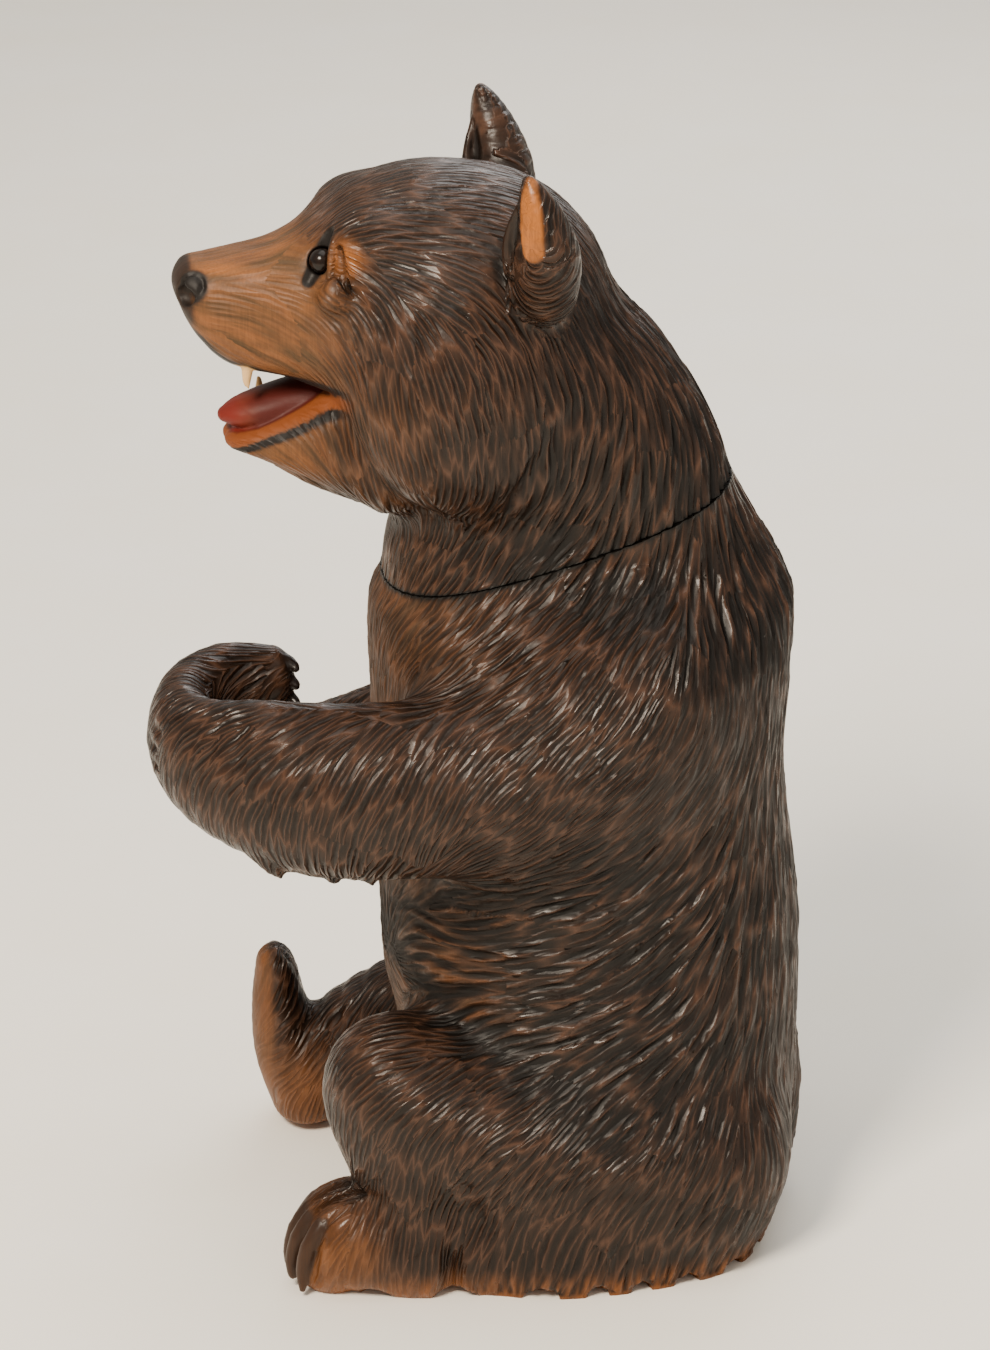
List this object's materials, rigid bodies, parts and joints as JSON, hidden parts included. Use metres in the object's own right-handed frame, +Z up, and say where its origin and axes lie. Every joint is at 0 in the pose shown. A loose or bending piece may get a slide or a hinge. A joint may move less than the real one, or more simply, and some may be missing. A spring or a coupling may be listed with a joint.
{
  "type": "carved wooden bear jar",
  "caption": "Carved wooden bear sitting upright with raised forepaws and open mouth; the head lifts off at the neck as the lid of a bored well, dark glass eyes.",
  "frame": {"origin": "middle of the bounding box, on the flat underside that the figure stands on", "axes": "+Z up, the bear faces -Y, its left side is +X"},
  "size_m": [0.1327, 0.18, 0.3073],
  "materials": {
    "stained_wood": "gouge-carved, dark brown stain under worn satin varnish",
    "dark_glass": "polished dark brown glass bead"
  },
  "bodies": {
    "root": {"body": "stained_wood", "head_lid": "stained_wood", "eye_left": "dark_glass", "eye_right": "dark_glass"}
  },
  "joints": []
}
